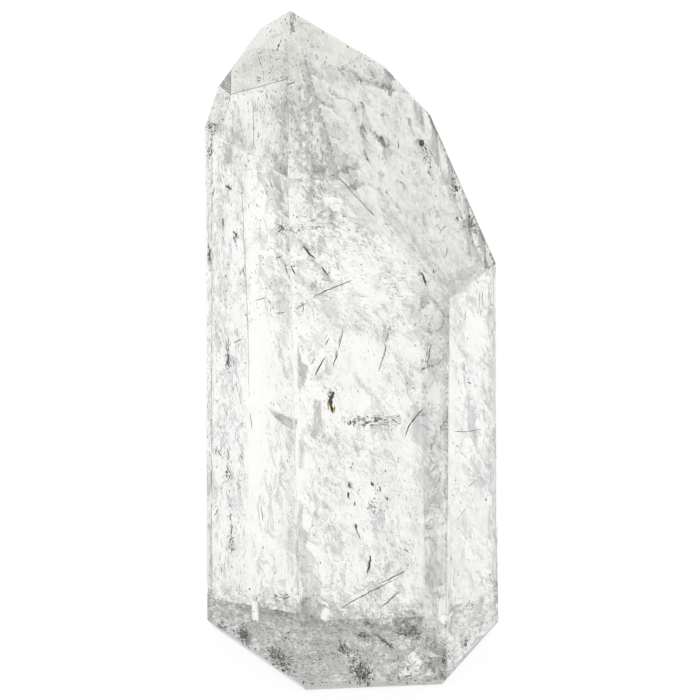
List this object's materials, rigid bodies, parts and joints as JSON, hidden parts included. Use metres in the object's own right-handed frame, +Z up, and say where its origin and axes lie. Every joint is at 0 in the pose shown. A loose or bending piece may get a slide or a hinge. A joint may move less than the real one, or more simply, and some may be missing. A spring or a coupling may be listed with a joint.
{
  "type": "quartz point",
  "caption": "Clear quartz point: tapering hexagonal prism with an off-centre tip of flat sloping faces and a flat bevelled foot, for standing on display.",
  "frame": {"origin": "centre of the overall outline, on the plane of the cut foot", "axes": "+Z up along the prism, -Y out through the middle of the front prism face within 5 degrees, +X to the right seen from the front"},
  "size_m": [0.0456, 0.0395, 0.1],
  "materials": {
    "quartz_point": "polished clear quartz, see-through, with white veils and dark specks inside"
  },
  "bodies": {
    "root": {"quartz_point": "quartz_point"}
  },
  "joints": []
}
